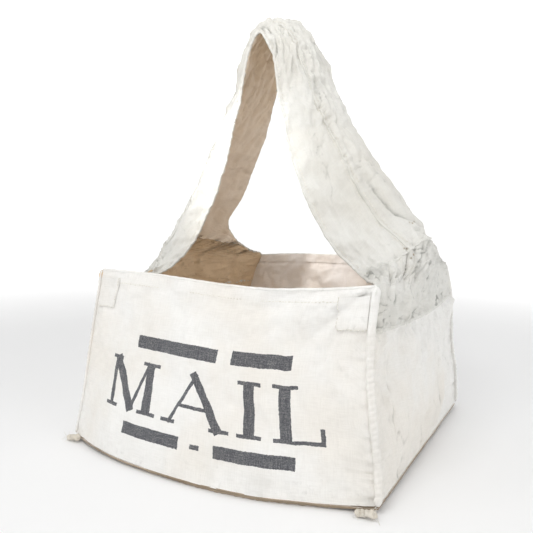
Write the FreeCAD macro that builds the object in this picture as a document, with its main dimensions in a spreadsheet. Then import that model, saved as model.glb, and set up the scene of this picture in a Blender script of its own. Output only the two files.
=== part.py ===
import FreeCAD, Part
import math
import os
import Sketcher

# A newspaper carrier's shoulder bag in canvas: a box-shaped body, wide yokes over its ends, and one strap
# that arches over the mouth and can be swung down to the front or the back.
# Millimetres. The origin is on the floor under the middle of the bag: X runs along its width, -Y is the
# printed front and +Z is up.

doc = FreeCAD.newDocument("CarrierBag")
sheet = doc.addObject("Spreadsheet::Sheet", "Sheet")

DIMENSIONS = [
    ("width_base", 426),      # body, across the corner seams at the floor
    ("width_mouth", 384),     # the same at the mouth
    ("depth_base", 374),      # front to back over the corner seams at the floor
    ("depth_mouth", 366),     # the same at the mouth
    ("wall_height", 228),     # floor to mouth
    ("base_bow", 40),         # how far the filled front and back stand out at the floor
    ("mouth_bow", 2),         # and at the mouth
    ("side_bow", 8),          # how far each end wall stands out
    ("ply", 1.2),             # thickness of one layer of canvas
    ("gap", 0.3),             # air between layers that are not the same piece
    ("ridge_gap", 0.9),       # air under the strap's lengthwise seam
    ("ridge_width", 5),       # width of that seam
    ("seam_width", 6),        # sewn ridge at the corners and round the base
    ("seam_rise", 9),         # height of the base seam above the floor
    ("hem_depth", 18),        # turned hem at the mouth
    ("lap_size", 38),         # square end of a yoke, sewn down on the front or back
    ("lap_drop", 4),          # from the mouth down to that end
    ("lap_ease", 1.2),        # share of the wall's bow that a lap clears
    ("yoke_low", 180),        # height of the seam between end wall and yoke
    ("yoke_dip", 2),          # how far a yoke's ends lie below the mouth
    ("yoke_top", 245),        # height where the yoke meets the strap
    ("limb_span", 425),       # across the strap's two limbs at the yoke top
    ("crown_height", 572),    # floor to the top of the strap
    ("crown_radius", 42),     # bend of the strap over the top
    ("limb_reach", 84),       # half the strap's width, front to back, at the swing line
    ("crown_front", 82),      # front edge of the strap at the crown, ahead of the middle
    ("crown_back", 36),       # back edge at the crown, behind the middle
    ("curl_low", 84),         # how far the strap's front edge curls in at its foot
    ("curl_high", 28),        # and at the crown
    ("curl_behind", 16),      # how far its back edge curls in
    ("swing_height", 330),    # line that the whole strap swings about
    ("fold_height", 475),     # line that the top of the strap folds about
    ("fold_clearance", 4),    # gap round the top's lower end, for that fold
    ("stitch_pitch", 7),      # one stitch of the hem to the next
    ("stitch_length", 4),
    ("thread", 0.6),
    ("tail_radius", 5),       # rolled end of the base seam
    ("tail_length", 24),
    ("tail_gap", 1),          # between it and the seam
]


def fill_sheet():
    for row, (name, value) in enumerate(DIMENSIONS, start=1):
        sheet.set("A%d" % row, name)
        sheet.set("B%d" % row, str(value))
        sheet.setAlias("B%d" % row, name)
    doc.recompute()


def dim(name):
    return float(sheet.get(name))


# ---- sketched bodies -------------------------------------------------------------------------------------

def expression(text):
    """Turn words such as width_base into references to the sheet's cells."""
    for name in sorted((name for name, _ in DIMENSIONS), key=len, reverse=True):
        text = text.replace(name, "<" + name.upper() + ">")
    for name, _ in DIMENSIONS:
        text = text.replace("<" + name.upper() + ">", "Sheet." + name)
    return text


def pin(sketch, geometry, position, corner):
    """Hold one point of the sketch at a corner, whose two coordinates are expressions."""
    for kind, text in zip(("DistanceX", "DistanceY"), corner):
        value = float(sketch.evalExpression(expression(text)))
        index = sketch.addConstraint(Sketcher.Constraint(kind, -1, 1, geometry, position, value))
        sketch.setExpression("Constraints[%d]" % index, expression(text))


def place(sketch, corner):
    return FreeCAD.Vector(*[float(sketch.evalExpression(expression(text))) for text in corner], 0)


def outline_sketch(body, name, height, corners, bows=None):
    """A closed outline at a height. bows gives the point that an edge bends through, by the edge's number."""
    sketch = body.newObject("Sketcher::SketchObject", name)
    plane = [f for f in body.Origin.OriginFeatures if f.Role == "XY_Plane"][0]
    sketch.AttachmentSupport = [(plane, "")]
    sketch.MapMode = "FlatFace"
    sketch.setExpression("AttachmentOffset.Base.z", expression(height))
    for number, corner in enumerate(corners):
        following = corners[(number + 1) % len(corners)]
        start, end = place(sketch, corner), place(sketch, following)
        middle = (bows or {}).get(number)
        if middle is None:
            edge = sketch.addGeometry(Part.LineSegment(start, end), False)
        else:
            edge = sketch.addGeometry(Part.Arc(start, place(sketch, middle), end), False)
        first = 1 if sketch.getPoint(edge, 1).distanceToPoint(start) < 1e-6 else 2
        pin(sketch, edge, first, corner)
        pin(sketch, edge, 3 - first, following)
        if middle is not None:
            point = sketch.addGeometry(Part.Point(place(sketch, middle)), True)
            sketch.addConstraint(Sketcher.Constraint("PointOnObject", point, 1, edge))
            pin(sketch, point, 1, middle)
    return sketch


def lofted_body(name, sections):
    """A body through two or more outlines, each (height, corners, bows)."""
    body = doc.addObject("PartDesign::Body", name)
    body.Label = name
    sketches = [outline_sketch(body, "%s_section_%d" % (name, number), *section)
                for number, section in enumerate(sections)]
    loft = body.newObject("PartDesign::AdditiveLoft", name + "_loft")
    loft.Profile = sketches[0]
    loft.Sections = sketches[1:]
    loft.Ruled = True
    return body


def padded_body(name, height, corners, bows, length):
    """A body of one outline and a length upwards."""
    body = doc.addObject("PartDesign::Body", name)
    body.Label = name
    sketch = outline_sketch(body, name + "_outline", height, corners, bows)
    pad = body.newObject("PartDesign::Pad", name + "_pad")
    pad.Profile = sketch
    pad.setExpression("Length", expression(length))
    return body


# ---- the body's walls ------------------------------------------------------------------------------------

def between(low, high, height):
    """A size that changes evenly from the base seam to the mouth, as an expression."""
    share = "((%s) - seam_rise) / (wall_height - seam_rise)" % height
    return "((%s) + ((%s) - (%s)) * %s)" % (low, high, low, share)


def half_width(height):
    return between("width_base / 2", "width_mouth / 2", height)


def half_depth(height):
    return between("depth_base / 2", "depth_mouth / 2", height)


def long_strip(side, height, inset, thickness, end_gap="(seam_width + gap)"):
    """Plan of a layer along the front (side -1) or back (+1), bowed outwards, inset from the outer face."""
    reach = "(%s - %s)" % (half_width(height), end_gap)
    outer = "(%s - %s)" % (half_depth(height), inset)
    bow = between("base_bow", "mouth_bow", height)
    corners, bows = [], {}
    for x, depth in ((-1, outer), (1, outer), (1, outer + " - %s" % thickness), (-1, outer + " - %s" % thickness)):
        corners.append(("%d * %s" % (x, reach), "%d * (%s)" % (side, depth)))
    bows[0] = ("0", "%d * (%s + %s)" % (side, outer, bow))
    bows[2] = ("0", "%d * (%s - %s + %s)" % (side, outer, thickness, bow))
    return height, corners, bows


def end_strip(side, height, inset, thickness):
    """Plan of a layer along the left (side -1) or right (+1) end, bowed outwards."""
    reach = "(%s - seam_width - gap)" % half_depth(height)
    outer = "(%s - %s)" % (half_width(height), inset)
    inner = "(%s - %s)" % (outer, thickness)
    corners = [("%d * %s" % (side, outer), "-1 * " + reach), ("%d * %s" % (side, outer), reach),
               ("%d * %s" % (side, inner), reach), ("%d * %s" % (side, inner), "-1 * " + reach)]
    bows = {0: ("%d * (%s + side_bow)" % (side, outer), "0"),
            2: ("%d * (%s + side_bow)" % (side, inner), "0")}
    return height, corners, bows


def make_panel(name, side):
    lofted_body(name, [long_strip(side, "seam_rise", "ply", "ply"), long_strip(side, "wall_height", "ply", "ply")])


def make_hem(name, side):
    """The turned edge of a panel, lying on its inner face."""
    inset = "(2 * ply + gap)"
    low = "wall_height - hem_depth"
    lofted_body(name, [long_strip(side, low, inset, "ply"), long_strip(side, "wall_height", inset, "ply")])


def make_gusset(name, side):
    lofted_body(name, [end_strip(side, "seam_rise", "ply", "ply"), end_strip(side, "yoke_low - gap", "ply", "ply")])


def strap_mouth_plan(side, inset):
    """Plan of the yoke's top edge: as wide as the strap's foot, its front edge curled further in."""
    spine = "(limb_span / 2 - %s)" % inset
    front = "(limb_span / 2 - curl_low - %s)" % inset
    back = "(limb_span / 2 - 2 * curl_behind - %s)" % inset
    return spine, front, back, "%d * " % side


def make_yoke(name, side):
    """From the yoke seam to the mouth at full depth, then drawn in to the strap's foot."""
    spine, front, back, sign = strap_mouth_plan(side, "0")
    inner_spine, inner_front, inner_back, _ = strap_mouth_plan(side, "ply")
    corners = [(sign + front, "-limb_reach"), (sign + back, "limb_reach"),
               (sign + inner_back, "limb_reach - ply / 2"), (sign + inner_front, "-limb_reach + ply / 2")]
    bows = {0: (sign + spine, "0"), 2: (sign + inner_spine, "0")}
    lofted_body(name, [end_strip(side, "yoke_low", "ply", "ply"),
                       end_strip(side, "wall_height - yoke_dip", "ply", "ply"), ("yoke_top", corners, bows)])


def make_corner_seam(name, side_x, side_y):
    sections = []
    for height in ("seam_rise", "wall_height"):
        x_out, y_out = half_width(height), half_depth(height)
        corners = [("%d * (%s - %s)" % (side_x, x_out, dx), "%d * (%s - %s)" % (side_y, y_out, dy))
                   for dx, dy in (("0", "0"), ("seam_width", "0"), ("seam_width", "seam_width"), ("0", "seam_width"))]
        sections.append((height, corners, None))
    lofted_body(name, sections)


def make_base_panel():
    """The bottom: one layer inside the base seams, flat on the floor."""
    reach = "(width_base / 2 - gap)"
    deep = "(depth_base / 2 - gap)"
    corners = [("-1 * " + reach, "-1 * " + deep), (reach, "-1 * " + deep), (reach, deep), ("-1 * " + reach, deep)]
    bows = {0: ("0", "-1 * (%s + base_bow)" % deep), 1: ("%s + side_bow" % reach, "0"),
            2: ("0", "%s + base_bow" % deep), 3: ("-1 * (%s + side_bow)" % reach, "0")}
    padded_body("base_panel", "0", corners, bows, "2 * ply")


def make_base_seams():
    rise = "seam_rise - 2 * ply - 2 * gap"
    foot = "2 * ply + gap"
    for name, side in (("front_base_seam", -1), ("back_base_seam", 1)):
        _, corners, bows = long_strip(side, "seam_rise", "0", "seam_width", "0")
        padded_body(name, foot, corners, bows, rise)
    for name, side in (("left_base_seam", -1), ("right_base_seam", 1)):
        _, corners, bows = end_strip(side, "seam_rise", "0", "seam_width")
        padded_body(name, foot, corners, bows, rise)


def make_lap(name, side_x, side_y):
    """The end of a yoke, folded round the corner and sewn flat on the front or the back."""
    box = doc.addObject("Part::Box", name)
    box.Label = name
    box.setExpression("Length", "Sheet.lap_size")
    box.setExpression("Width", "Sheet.ply")
    box.setExpression("Height", "Sheet.lap_size")
    edge = "(Sheet.width_mouth / 2 - Sheet.seam_width - Sheet.gap)"
    left = edge + " - Sheet.lap_size" if side_x > 0 else "-%s" % edge
    bow = "(Sheet.mouth_bow + Sheet.base_bow * Sheet.lap_ease * Sheet.lap_size / Sheet.wall_height)"
    clear = "(Sheet.depth_mouth / 2 + %s * (1 - (1 - 2 * Sheet.lap_size / Sheet.width_mouth) ^ 2))" % bow
    box.setExpression("Placement.Base.x", left)
    box.setExpression("Placement.Base.y", clear if side_y > 0 else "-%s - Sheet.ply" % clear)
    box.setExpression("Placement.Base.z", "Sheet.wall_height - Sheet.lap_size - Sheet.lap_drop")


def make_seam_tail(name, side):
    """A rolled end of the base seam: a short open tube lying along the front edge."""
    roll = doc.addObject("Part::Cylinder", name + "_roll")
    roll.setExpression("Radius", "Sheet.tail_radius")
    hollow = doc.addObject("Part::Cylinder", name + "_hollow")
    hollow.setExpression("Radius", "Sheet.tail_radius - 2 * Sheet.ply")
    for cylinder in (roll, hollow):
        cylinder.setExpression("Height", "Sheet.tail_length")
        cylinder.Placement.Rotation = FreeCAD.Rotation(FreeCAD.Vector(0, 1, 0), 90)
        start = "Sheet.width_base / 2 - Sheet.tail_length" if side > 0 else "-Sheet.width_base / 2"
        cylinder.setExpression("Placement.Base.x", start)
        bowed = "Sheet.base_bow * (1 - (1 - 2 * Sheet.tail_length / Sheet.width_base) ^ 2)"
        cylinder.setExpression("Placement.Base.y", "-Sheet.depth_base / 2 - %s - Sheet.tail_radius - Sheet.tail_gap" % bowed)
        cylinder.setExpression("Placement.Base.z", "Sheet.tail_radius")
    tube = doc.addObject("Part::Cut", name)
    tube.Label = name
    tube.Base = roll
    tube.Tool = hollow


def make_hem_stitching(name, side):
    """One row of stitches on the outer face of a panel, half way down its hem."""
    height = dim("wall_height") - dim("hem_depth") / 2
    rise = (height - dim("seam_rise")) / (dim("wall_height") - dim("seam_rise"))
    bow = dim("base_bow") + (dim("mouth_bow") - dim("base_bow")) * rise
    outer = (dim("depth_base") + (dim("depth_mouth") - dim("depth_base")) * rise) / 2 - dim("ply")
    reach = dim("width_mouth") / 2 - dim("lap_size") - 2 * dim("seam_width")
    count = int(2 * reach / dim("stitch_pitch"))
    stitches = []
    for number in range(count + 1):
        x = (number - count / 2) * dim("stitch_pitch")
        y = outer + bow * (1 - (x / (dim("width_mouth") / 2)) ** 2) + dim("gap")
        corner = FreeCAD.Vector(x - dim("stitch_length") / 2, y if side > 0 else -y - dim("thread"), height)
        stitches.append(Part.makeBox(dim("stitch_length"), dim("thread"), dim("thread"), corner))
    shaped(name, Part.makeCompound(stitches))


# ---- the strap -------------------------------------------------------------------------------------------

def shaped(name, shape):
    piece = doc.addObject("Part::Feature", name)
    piece.Label = name
    piece.Shape = shape
    piece.Placement = FreeCAD.Placement()
    return piece


def limb_lean():
    """Angle of a limb from upright, so that it runs from the yoke top to a tangent of the crown's arc."""
    span = dim("limb_span") / 2
    drop = dim("crown_height") - dim("crown_radius") - dim("yoke_top")
    return math.acos(dim("crown_radius") / math.hypot(span, drop)) - math.atan2(drop, span)


def spine_station(share):
    """Place, outward direction and rise of the strap's middle line: share 0 at the foot, 1 at the crown."""
    lean = limb_lean()
    centre = dim("crown_height") - dim("crown_radius")
    tangent = FreeCAD.Vector(math.cos(lean), 0, math.sin(lean)) * dim("crown_radius") + FreeCAD.Vector(0, 0, centre)
    foot = FreeCAD.Vector(dim("limb_span") / 2, 0, dim("yoke_top"))
    straight = (tangent - foot).Length
    bend = dim("crown_radius") * (math.pi / 2 - lean)
    travel = share * (straight + bend)
    if travel <= straight:
        outward = FreeCAD.Vector(math.cos(lean), 0, math.sin(lean))
        return foot + (tangent - foot) * (travel / straight), outward
    angle = lean + (travel - straight) / dim("crown_radius")
    outward = FreeCAD.Vector(math.cos(angle), 0, math.sin(angle))
    return outward * dim("crown_radius") + FreeCAD.Vector(0, 0, centre), outward


def blend(low, high, share):
    return low + (high - low) * min(max(share, 0), 1)


def mirrored(vector, side):
    return FreeCAD.Vector(side * vector.x, vector.y, vector.z)


def cross_arc(share, depth):
    """Front, middle and back points of the strap's curled cross-section, depth below its outer face."""
    spine, outward = spine_station(share)
    front = -blend(dim("limb_reach"), dim("crown_front"), share)
    back = blend(dim("limb_reach"), dim("crown_back"), share)
    inward = spine - outward * depth
    trim = depth / 2
    return (inward - outward * blend(dim("curl_low"), dim("curl_high"), share) + FreeCAD.Vector(0, front + trim, 0),
            inward,
            inward - outward * dim("curl_behind") + FreeCAD.Vector(0, back - trim, 0))


def band_section(share, side, depth, thickness):
    """Closed wire across the strap: two arcs a layer apart."""
    front, middle, back = [mirrored(v, side) for v in cross_arc(share, depth)]
    front_in, middle_in, back_in = [mirrored(v, side) for v in cross_arc(share, depth + thickness)]
    return Part.Wire([Part.Arc(front, middle, back).toShape(), Part.makeLine(back, back_in),
                      Part.Arc(back_in, middle_in, front_in).toShape(), Part.makeLine(front_in, front)])


def ridge_section(share, side, width, height):
    """Closed wire across the seam that stands on the strap's middle line."""
    spine, outward = spine_station(share)
    across = FreeCAD.Vector(0, width / 2, 0)
    low, high = spine + outward * dim("ridge_gap"), spine + outward * (dim("ridge_gap") + height)
    corners = [mirrored(v, side) for v in (low - across, low + across, high + across, high - across)]
    return Part.makePolygon(corners + corners[:1])


def cylinder_x(y, z, radius):
    reach = dim("limb_span")
    return Part.makeCylinder(radius, 2 * reach, FreeCAD.Vector(-reach, y, z), FreeCAD.Vector(1, 0, 0))


def slab_x(low, high):
    reach = dim("limb_span")
    corner = FreeCAD.Vector(-reach, -reach, low)
    return Part.makeBox(2 * reach, 2 * reach, high - low, corner)


def fold_line():
    """Middle, reach and height of the line that the strap's top folds about, from the strap's width there."""
    share = (dim("fold_height") - dim("yoke_top")) / (dim("crown_height") - dim("yoke_top"))
    front = -blend(dim("limb_reach"), dim("crown_front"), share)
    back = blend(dim("limb_reach"), dim("crown_back"), share)
    return (front + back) / 2, (back - front) / 2, dim("fold_height")


def lower_region():
    """Side view of the lower limbs: round about the swing line below, hollowed for the fold above."""
    middle, reach, height = fold_line()
    body = cylinder_x(0, dim("swing_height"), dim("limb_reach"))
    body = body.fuse(slab_x(dim("swing_height"), height - reach / 2))
    return body.cut(cylinder_x(middle, height, reach + dim("fold_clearance")))


def upper_region():
    middle, reach, height = fold_line()
    return cylinder_x(middle, height, reach).fuse(slab_x(height, dim("crown_height") + reach))


LIMB_SECTIONS = 8
LOOP_SECTIONS = 10
LOOP_START = 0.45                  # share of the way up a limb where the upper loop's sections begin


def limb(name, side, section, *sizes):
    """One lower limb's layer or seam, cut to the lower region."""
    wires = [section(number / LIMB_SECTIONS, side, *sizes) for number in range(-1, LIMB_SECTIONS)]
    shaped(name, Part.makeLoft(wires, True, False).common(lower_region()))


def loop(name, section, *sizes):
    """The upper loop's layer or seam: up the left limb, over the crown and down the right one."""
    shares = [LOOP_START + (1 - LOOP_START) * number / LOOP_SECTIONS for number in range(LOOP_SECTIONS + 1)]
    wires = [section(share, -1, *sizes) for share in shares]
    wires += [section(share, 1, *sizes) for share in reversed(shares[:-1])]
    shaped(name, Part.makeLoft(wires, True, False).common(upper_region()))


def make_strap():
    ply, lining = dim("ply"), dim("ply") + dim("gap")
    for side, word in ((-1, "left"), (1, "right")):
        limb(word + "_strap_band", side, band_section, 0, ply)
        limb(word + "_strap_lining", side, band_section, lining, ply)
        limb(word + "_strap_seam", side, ridge_section, dim("ridge_width"), ply)
    loop("crown_band", band_section, 0, ply)
    loop("crown_lining", band_section, lining, ply)
    loop("crown_seam", ridge_section, dim("ridge_width"), ply)


# ---- the whole bag ---------------------------------------------------------------------------------------

def make_bag():
    for name, side in (("front", -1), ("back", 1)):
        make_panel(name + "_panel", side)
        make_hem(name + "_hem", side)
        make_hem_stitching(name + "_hem_stitching", side)
    for name, side in (("left", -1), ("right", 1)):
        make_gusset(name + "_gusset", side)
        make_yoke(name + "_yoke", side)
        make_seam_tail(name + "_seam_tail", side)
        for place_name, side_y in (("front", -1), ("back", 1)):
            make_corner_seam("%s_%s_corner_seam" % (place_name, name), side, side_y)
            make_lap("%s_%s_lap" % (place_name, name), side, side_y)
    make_base_panel()
    make_base_seams()
    make_strap()


def sub_parts():
    """The finished pieces: every body and every solid object that is not an ingredient of another."""
    pieces = []
    for item in doc.Objects:
        if item.isDerivedFrom("PartDesign::Body"):
            pieces.append(item)
        elif item.isDerivedFrom("PartDesign::Feature") or item.isDerivedFrom("Sketcher::SketchObject"):
            continue
        elif item.isDerivedFrom("Part::Feature") and not item.Name.endswith(("_roll", "_hollow")):
            pieces.append(item)
    return pieces


def write_parts():
    for item in doc.Objects:
        if "Invalid" in item.State or "Error" in item.State:
            raise RuntimeError("%s failed: %s" % (item.Name, item.State))
    os.makedirs("parts", exist_ok=True)
    for piece in sub_parts():
        if piece.Shape.isNull() or not piece.Shape.isValid() or piece.Shape.Volume <= 0:
            raise RuntimeError("%s has no valid shape" % piece.Label)
        piece.Shape.exportStep("parts/%s.step" % piece.Label)
        print("%-28s %9.1f mm3" % (piece.Label, piece.Shape.Volume))


fill_sheet()
make_bag()
doc.recompute()
write_parts()
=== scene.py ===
import math

import bpy
import numpy as np
from mathutils import Euler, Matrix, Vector


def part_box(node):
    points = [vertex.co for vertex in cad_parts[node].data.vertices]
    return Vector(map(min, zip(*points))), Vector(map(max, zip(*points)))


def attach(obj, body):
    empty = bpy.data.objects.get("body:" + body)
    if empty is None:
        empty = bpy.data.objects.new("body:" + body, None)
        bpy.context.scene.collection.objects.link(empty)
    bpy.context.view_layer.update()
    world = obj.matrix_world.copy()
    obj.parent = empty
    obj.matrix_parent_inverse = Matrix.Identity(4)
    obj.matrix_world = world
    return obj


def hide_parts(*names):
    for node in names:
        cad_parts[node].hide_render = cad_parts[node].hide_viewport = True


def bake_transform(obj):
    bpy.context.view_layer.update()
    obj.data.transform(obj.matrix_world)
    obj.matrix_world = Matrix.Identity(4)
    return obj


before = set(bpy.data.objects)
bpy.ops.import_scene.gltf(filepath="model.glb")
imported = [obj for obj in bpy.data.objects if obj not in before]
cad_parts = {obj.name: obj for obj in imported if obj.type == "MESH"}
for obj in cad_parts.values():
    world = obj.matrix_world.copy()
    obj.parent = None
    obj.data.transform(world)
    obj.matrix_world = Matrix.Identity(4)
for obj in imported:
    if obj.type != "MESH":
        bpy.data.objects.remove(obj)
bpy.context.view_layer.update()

# A worn canvas newspaper carrier's bag. Metres, in the frame's own axes: -Y is the printed front.

# ---- sizes from the frame --------------------------------------------------------------------------------

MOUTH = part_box("front_panel")[1].z                     # floor to mouth
HALF_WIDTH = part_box("front_right_corner_seam")[1].x    # at the base
HALF_DEPTH = -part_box("front_right_corner_seam")[0].y
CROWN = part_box("crown_band")[1].z

PLY = 0.0013                       # one layer of canvas
LAYER_GAP = 0.0004
CLOTH_SHARP_ANGLE = 50             # degrees, past which a cloth's edge is not shaded smooth
WELT_STEP = 0.0013                 # spacing of points along a sewn ridge


def at(x, y, z):
    """A point given in millimetres on a bag of nominal size, scaled to the frame."""
    if z <= 228:
        height = z / 228 * MOUTH
    else:
        height = MOUTH + (z - 228) / (572 - 228) * (CROWN - MOUTH)
    return np.array((x / 213 * HALF_WIDTH, y / 187 * HALF_DEPTH, height))


def points(*triples):
    return np.array([at(*t) for t in triples])


def smooth(controls, where):
    """Points of a Catmull-Rom curve through the controls, at shares 0 to 1."""
    controls = np.asarray(controls, float)
    spans = len(controls) - 1
    extended = np.concatenate([[2 * controls[0] - controls[1]], controls, [2 * controls[-1] - controls[-2]]])
    along = np.clip(np.asarray(where, float), 0, 1) * spans
    index = np.minimum(along.astype(int), spans - 1)
    t = (along - index).reshape(along.shape + (1,) * (controls.ndim - 1))
    p0, p1, p2, p3 = (extended[index + k] for k in range(4))
    return 0.5 * (2 * p1 + (p2 - p0) * t + (2 * p0 - 5 * p1 + 4 * p2 - p3) * t ** 2
                  + (3 * p1 - p0 - 3 * p2 + p3) * t ** 3)


def smoothstep(low, high, value):
    t = np.clip((value - low) / (high - low), 0, 1)
    return t * t * (3 - 2 * t)


# ---- the bag's outline -----------------------------------------------------------------------------------

# Upright corner curves, from the base seam to the mouth.
CORNERS = {
    ("front", "left"): points((-202, -218, 8), (-201, -206, 57), (-204, -196, 90), (-203, -189, 130),
                              (-197, -184, 177), (-185, -183, 227)),
    ("front", "right"): points((209, -188, 9), (207, -187, 45), (201, -185, 90), (196, -184, 140),
                               (196, -183, 185), (200, -181, 229)),
    ("back", "right"): points((209, 183, 9), (207, 181, 60), (200, 180, 113), (196, 181, 181), (186, 182, 229)),
    ("back", "left"): points((-208, 186, 9), (-203, 185, 60), (-190, 184, 130), (-176, 183, 185), (-157, 183, 231)),
}
# Edges along the base seam, and along the mouth, from left to right.
FRONT_FOOT = points((-202, -218, 8), (-158, -233, 8), (-100, -243, 7), (-35, -245, 6), (35, -241, 5.5),
                    (95, -230, 5.5), (150, -211, 6), (190, -196, 7.5), (209, -188, 9))
BACK_FOOT = points((-208, 186, 9), (-120, 208, 8), (0, 217, 8), (120, 208, 8), (209, 183, 9))
FRONT_LIP = points((-185, -183, 227), (-120, -184, 226), (-60, -184, 224), (0, -184, 220), (60, -184, 218),
                   (110, -184, 220), (160, -183, 224), (200, -181, 229))
BACK_LIP = points((-157, 183, 231), (-90, 184, 235), (0, 185, 236), (100, 185, 234), (186, 182, 229))


def wall(left, right, foot, lip, u, v):
    """A long wall: its corners, its foot and its lip, filled in between. u runs along it and v upwards."""
    side_left, side_right = smooth(left, v[:, 0]), smooth(right, v[:, 0])
    across = u[..., None]
    sides = side_left[:, None] * (1 - across) + side_right[:, None] * across
    foot_line, lip_line = smooth(foot, u[0]), smooth(lip, u[0])
    foot_chord = foot_line[0] * (1 - across[0]) + foot_line[-1] * across[0]
    lip_chord = lip_line[0] * (1 - across[0]) + lip_line[-1] * across[0]
    up = v[..., None]
    return sides + (foot_line - foot_chord)[None] * (1 - up) ** 1.35 + (lip_line - lip_chord)[None] * up ** 1.6


# One limb of the strap and its yoke, for the right side: rows from the yoke seam to the crown, each with a
# point at the front edge, the front knee, the middle and the back edge.
SHARED_ROWS = [
    ((108, -84, 265), (150, -60, 292), (173, -6, 312), (160, 76, 296)),
    ((75, -85, 319), (124, -56, 338), (146, -8, 352), (131, 76, 338)),
    ((52, -85, 375), (102, -54, 382), (122, -9, 388), (101, 64, 384)),
    ((39, -84, 425), (80, -53, 425), (98, -10, 425), (76, 55, 425)),
    ((30, -82, 459), (60, -54, 466), (74, -12, 470), (60, 50, 463)),
    ((20, -81, 508), (39, -59, 520), (48, -17, 527), (39, 43, 518)),
    ((9, -83, 530), (19, -62, 547), (24, -19, 560), (20, 39, 556)),
    ((0, -83, 537), (0, -62, 554), (0, -18, 568), (0, 38, 570)),
]
ROWS = {
    "right": [
        ((196, -184, 181), (204, -95, 180), (206, 20, 179), (196, 183, 181)),
        ((197, -184, 206), (208, -98, 204), (213, 0, 208), (193, 183, 206)),
        ((200, -181, 229), (206, -104, 226), (214, -3, 236), (186, 182, 229)),
        ((171, -126, 229), (194, -82, 243), (207, -5, 261), (183, 150, 240)),
        ((141, -86, 236), (176, -65, 263), (192, -6, 284), (178, 108, 264)),
    ] + SHARED_ROWS,
    "left": [
        ((197, -184, 180), (204, -95, 180), (204, 20, 180), (177, 183, 182)),
        ((192, -184, 204), (199, -112, 199), (207, -10, 206), (167, 183, 208)),
        ((185, -183, 227), (188, -118, 212), (207, -10, 233), (157, 183, 231)),
        ((166, -140, 215), (175, -96, 222), (203, -6, 257), (166, 150, 243)),
        ((148, -93, 226), (168, -70, 251), (190, -6, 283), (170, 108, 266)),
    ] + SHARED_ROWS,
}
SIGN = {"left": -1, "right": 1}


def loop_controls():
    """Control rows of the whole loop: up the right limb, over the crown and down the left."""
    right, left = (np.array([[at(*p) for p in row] for row in ROWS[side]]) for side in ("right", "left"))
    left[..., 0] *= -1
    return np.concatenate([right, left[-2::-1]])


LOOP = loop_controls()


def strap(start, end, columns, rows):
    """The loop's outer surface between two rows, counted from the right yoke's seam. Columns run from the front
    edge to the back."""
    controls = smooth(LOOP, np.linspace(start, end, rows) / (len(LOOP) - 1))
    return np.stack([smooth(row, np.linspace(0, 1, columns)) for row in controls])


def gusset(side, u, v):
    """An end wall: from the base seam up to the yoke seam. u runs 0 to 1 from front to back."""
    share = v[:, 0] * 0.788                              # the corner curves run on up to the mouth
    front, back = smooth(CORNERS["front", side], share), smooth(CORNERS["back", side], share)
    across = u[..., None]
    flat = front[:, None] * (1 - across) + back[:, None] * across
    top = smooth(LOOP[0 if side == "right" else -1], u[0])
    top_chord = flat[-1]
    up = v[..., None]
    belly = 0.007 * np.sin(np.pi * u) * np.sin(np.pi * np.clip(v, 0, 1)) ** 0.8
    flat = flat + (top - top_chord)[None] * up ** 1.5
    flat[..., 0] += SIGN[side] * belly
    return flat


# ---- fields of wrinkles ----------------------------------------------------------------------------------

def lattice(i, j, seed):
    """A repeatable angle for each corner of a square lattice."""
    mixed = np.sin(i * 127.1 + j * 311.7 + seed * 74.7) * 43758.5453
    return (mixed - np.floor(mixed)) * 2 * np.pi


def ripple(u, v, seed):
    """Gradient noise of about -1 to 1 over two coordinates measured in waves."""
    i, j = np.floor(u), np.floor(v)
    fu, fv = u - i, v - j
    su, sv = (t ** 3 * (t * (t * 6 - 15) + 10) for t in (fu, fv))

    def corner(di, dj):
        angle = lattice(i + di, j + dj, seed)
        return np.cos(angle) * (fu - di) + np.sin(angle) * (fv - dj)

    low = corner(0, 0) * (1 - su) + corner(1, 0) * su
    high = corner(0, 1) * (1 - su) + corner(1, 1) * su
    return (low * (1 - sv) + high * sv) * 1.5


def field(u, v, seed, octaves=3):
    """Layers of noise, each half the size and half the depth of the one before."""
    return sum(0.5 ** k * ripple(u * 2.0 ** k + 3.1 * k, v * 2.0 ** k, seed + 7.3 * k) for k in range(octaves))


def crease(u, v, seed, sharp=2.2, octaves=2):
    """Narrow lines, 0 to 1, that wander across the cloth and fade in and out."""
    drift = 0.35 * ripple(u * 0.8, v * 0.8, seed + 5.1)
    line = (1 - np.minimum(np.abs(field(u + drift, v - drift, seed, octaves)) * sharp, 1)) ** 2
    return line * smoothstep(-0.15, 0.55, ripple(u * 0.7 + 4.2, v * 0.7, seed + 8.8))


def lengths(surface):
    """Distances in metres over the sheet, from its left edge along each row and from its foot up each column."""
    across = np.linalg.norm(np.diff(surface, axis=1), axis=2)
    upward = np.linalg.norm(np.diff(surface, axis=0), axis=2)
    rows, columns = surface.shape[:2]
    return (np.concatenate([np.zeros((rows, 1)), np.cumsum(across, axis=1)], axis=1),
            np.concatenate([np.zeros((1, columns)), np.cumsum(upward, axis=0)], axis=0))


def cloth_places(surface):
    """The same, as on the flat cloth: measured both ways from the middle of the sheet."""
    along, upward = lengths(surface)
    rows, columns = surface.shape[:2]
    return along - along[:, columns // 2:columns // 2 + 1], upward - upward[rows // 2:rows // 2 + 1].mean()


def normals(surface):
    du = np.gradient(surface, axis=1)
    dv = np.gradient(surface, axis=0)
    n = np.cross(du, dv)
    return n / np.maximum(np.linalg.norm(n, axis=-1, keepdims=True), 1e-12)


def grid(columns, rows):
    return np.meshgrid(np.linspace(0, 1, columns), np.linspace(0, 1, rows))


def softened(values, times):
    """A grid of points with its small bumps smoothed away."""
    for _ in range(times):
        padded = np.pad(values, ((1, 1), (1, 1), (0, 0)), mode="edge")
        values = (padded[:-2, 1:-1] + padded[2:, 1:-1] + padded[1:-1, :-2] + padded[1:-1, 2:]) / 4
    return values


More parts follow.
